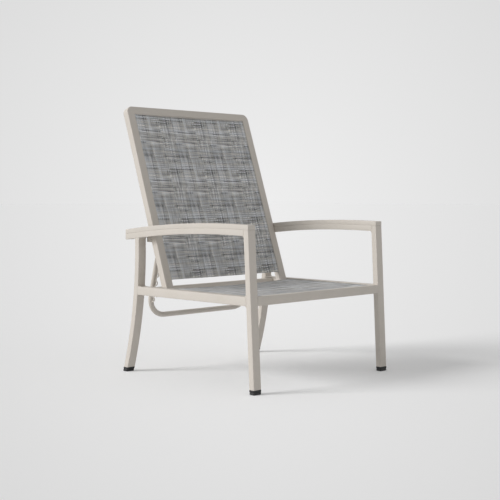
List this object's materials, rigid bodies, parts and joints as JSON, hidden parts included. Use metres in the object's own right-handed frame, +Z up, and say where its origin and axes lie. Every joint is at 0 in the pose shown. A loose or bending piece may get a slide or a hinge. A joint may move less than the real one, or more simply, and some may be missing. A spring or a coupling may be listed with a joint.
{
  "type": "sling patio chair",
  "caption": "High-backed patio armchair of rectangular tube with woven slings and a reclining back held by a toothed stay.",
  "frame": {"origin": "on the ground, in the middle of the chair's overall box with the back upright", "axes": "+Z up, -Y towards the front of the seat, +X to the right of the seat as seen from the front"},
  "size_m": [0.7822, 0.81, 1.0925],
  "materials": {
    "frame_powder_coat": "champagne powder coat, satin",
    "glide_plastic": "black moulded plastic",
    "nylon": "natural moulded nylon",
    "zinc_steel": "zinc plated",
    "sling_fabric": "woven grey sling mesh",
    "spline_rod": "extruded vinyl rod"
  },
  "bodies": {
    "frame": {"front_leg_left": "frame_powder_coat", "front_leg_right": "frame_powder_coat", "rear_leg_left": "frame_powder_coat", "rear_leg_right": "frame_powder_coat", "glide_front_left": "glide_plastic", "glide_front_right": "glide_plastic", "glide_rear_left": "glide_plastic", "glide_rear_right": "glide_plastic", "arm_rail_left": "frame_powder_coat", "arm_rail_right": "frame_powder_coat", "arm_cap_left": "frame_powder_coat", "arm_cap_right": "frame_powder_coat", "arm_plug_left": "frame_powder_coat", "arm_plug_right": "frame_powder_coat", "side_rail_left": "frame_powder_coat", "side_rail_right": "frame_powder_coat", "front_rail": "frame_powder_coat", "rear_rail": "frame_powder_coat", "catch_bracket_left": "frame_powder_coat", "catch_bracket_right": "frame_powder_coat", "catch_pin_left": "zinc_steel", "catch_pin_right": "zinc_steel", "seat_sling": "sling_fabric", "seat_spline_left": "spline_rod", "seat_spline_right": "spline_rod", "hinge_bolt_left": "zinc_steel", "hinge_bolt_right": "zinc_steel", "hinge_nut_left": "zinc_steel", "hinge_nut_right": "zinc_steel", "hinge_washer_left": "nylon", "hinge_washer_right": "nylon"},
    "back": {"back_rail_left": "frame_powder_coat", "back_rail_right": "frame_powder_coat", "back_top_rail": "frame_powder_coat", "back_spreader": "frame_powder_coat", "back_sling": "sling_fabric", "back_spline_left": "spline_rod", "back_spline_right": "spline_rod", "hinge_bushing_left": "nylon", "hinge_bushing_right": "nylon", "stay_stub_left": "frame_powder_coat", "stay_stub_right": "frame_powder_coat", "stub_plug_left": "glide_plastic", "stub_plug_right": "glide_plastic", "stay_bolt_left": "zinc_steel", "stay_bolt_right": "zinc_steel", "stay_nut_left": "zinc_steel", "stay_nut_right": "zinc_steel"},
    "stay": {"stay_bar": "frame_powder_coat", "stay_plug_left": "glide_plastic", "stay_plug_right": "glide_plastic", "stay_rack_left": "frame_powder_coat", "stay_rack_right": "frame_powder_coat", "stay_bushing_left": "nylon", "stay_bushing_right": "nylon"}
  },
  "joints": [
    {"name": "back_recline", "type": "hinge", "parent": "frame", "child": "back", "pos_m": [0, 0.13717, 0.34], "axis": [-1, 0, 0], "range_deg": [0, 48]},
    {"name": "stay_swing", "type": "hinge", "parent": "back", "child": "stay", "pos_m": [0, 0.23082, 0.546], "axis": [1, 0, 0], "range_deg": [0, 50]}
  ],
  "couplings": [
    {"joint": "stay_swing", "follows": "back_recline", "ratio": 1}
  ]
}
